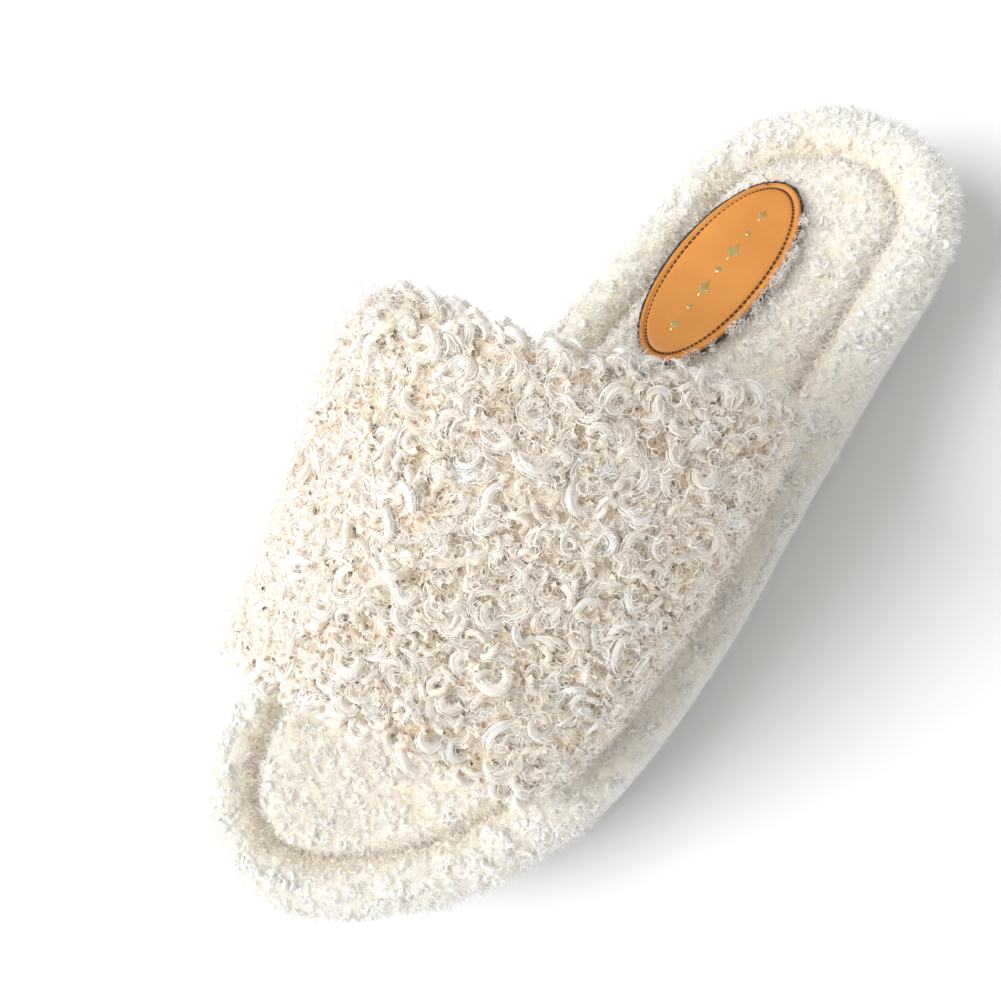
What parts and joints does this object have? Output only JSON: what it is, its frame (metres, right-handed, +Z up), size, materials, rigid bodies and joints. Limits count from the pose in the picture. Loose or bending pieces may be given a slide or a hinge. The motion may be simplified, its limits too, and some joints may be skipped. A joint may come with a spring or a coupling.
{
  "type": "house slipper",
  "caption": "Open-toe fluffy house slipper: curly fleece strap over a soft fleece footbed with a fluffy rim, smooth sole side, flat outsole with oval grip pads and an oval heel label.",
  "frame": {"origin": "middle of the slipper's bounding box, on the floor that the grip pads stand on", "axes": "+Y from toe to heel, +X towards the little-toe side, +Z up"},
  "size_m": [0.102, 0.264, 0.1161],
  "materials": {
    "outsole_rubber": "satin moulded thermoplastic rubber",
    "grip_rubber": "orange, moulded with a fine bead tread",
    "sole_foam": "closed-cell foam, hidden",
    "foxing_leather": "smooth soft coated fabric, low sheen",
    "board": "pressed fibre board, hidden",
    "soft_foam": "open-cell foam, hidden",
    "short_fleece": "short nubby fleece, matt",
    "rim_fleece": "short nubby fleece, matt, slightly cooler",
    "lining_plush": "short smooth plush",
    "curly_fleece": "long loose curls, soft sheen",
    "felt": "thin dark felt",
    "label_leather": "tan, smooth, fine grain",
    "thread": "dark brown sewing thread",
    "foil": "thin gold foil"
  },
  "bodies": {
    "root": {"outsole_plate": "outsole_rubber", "heel_grip_pad": "grip_rubber", "forefoot_grip_pad": "grip_rubber", "midsole_core": "sole_foam", "foxing_wrap": "foxing_leather", "insole_board": "board", "footbed_foam": "soft_foam", "footbed_cover": "short_fleece", "rim_padding": "soft_foam", "rim_cover": "rim_fleece", "strap_lining": "lining_plush", "strap_foam": "soft_foam", "strap_shell": "curly_fleece", "label_backing": "felt", "label": "label_leather", "label_stitching": "thread", "label_mark": "foil"}
  },
  "joints": []
}
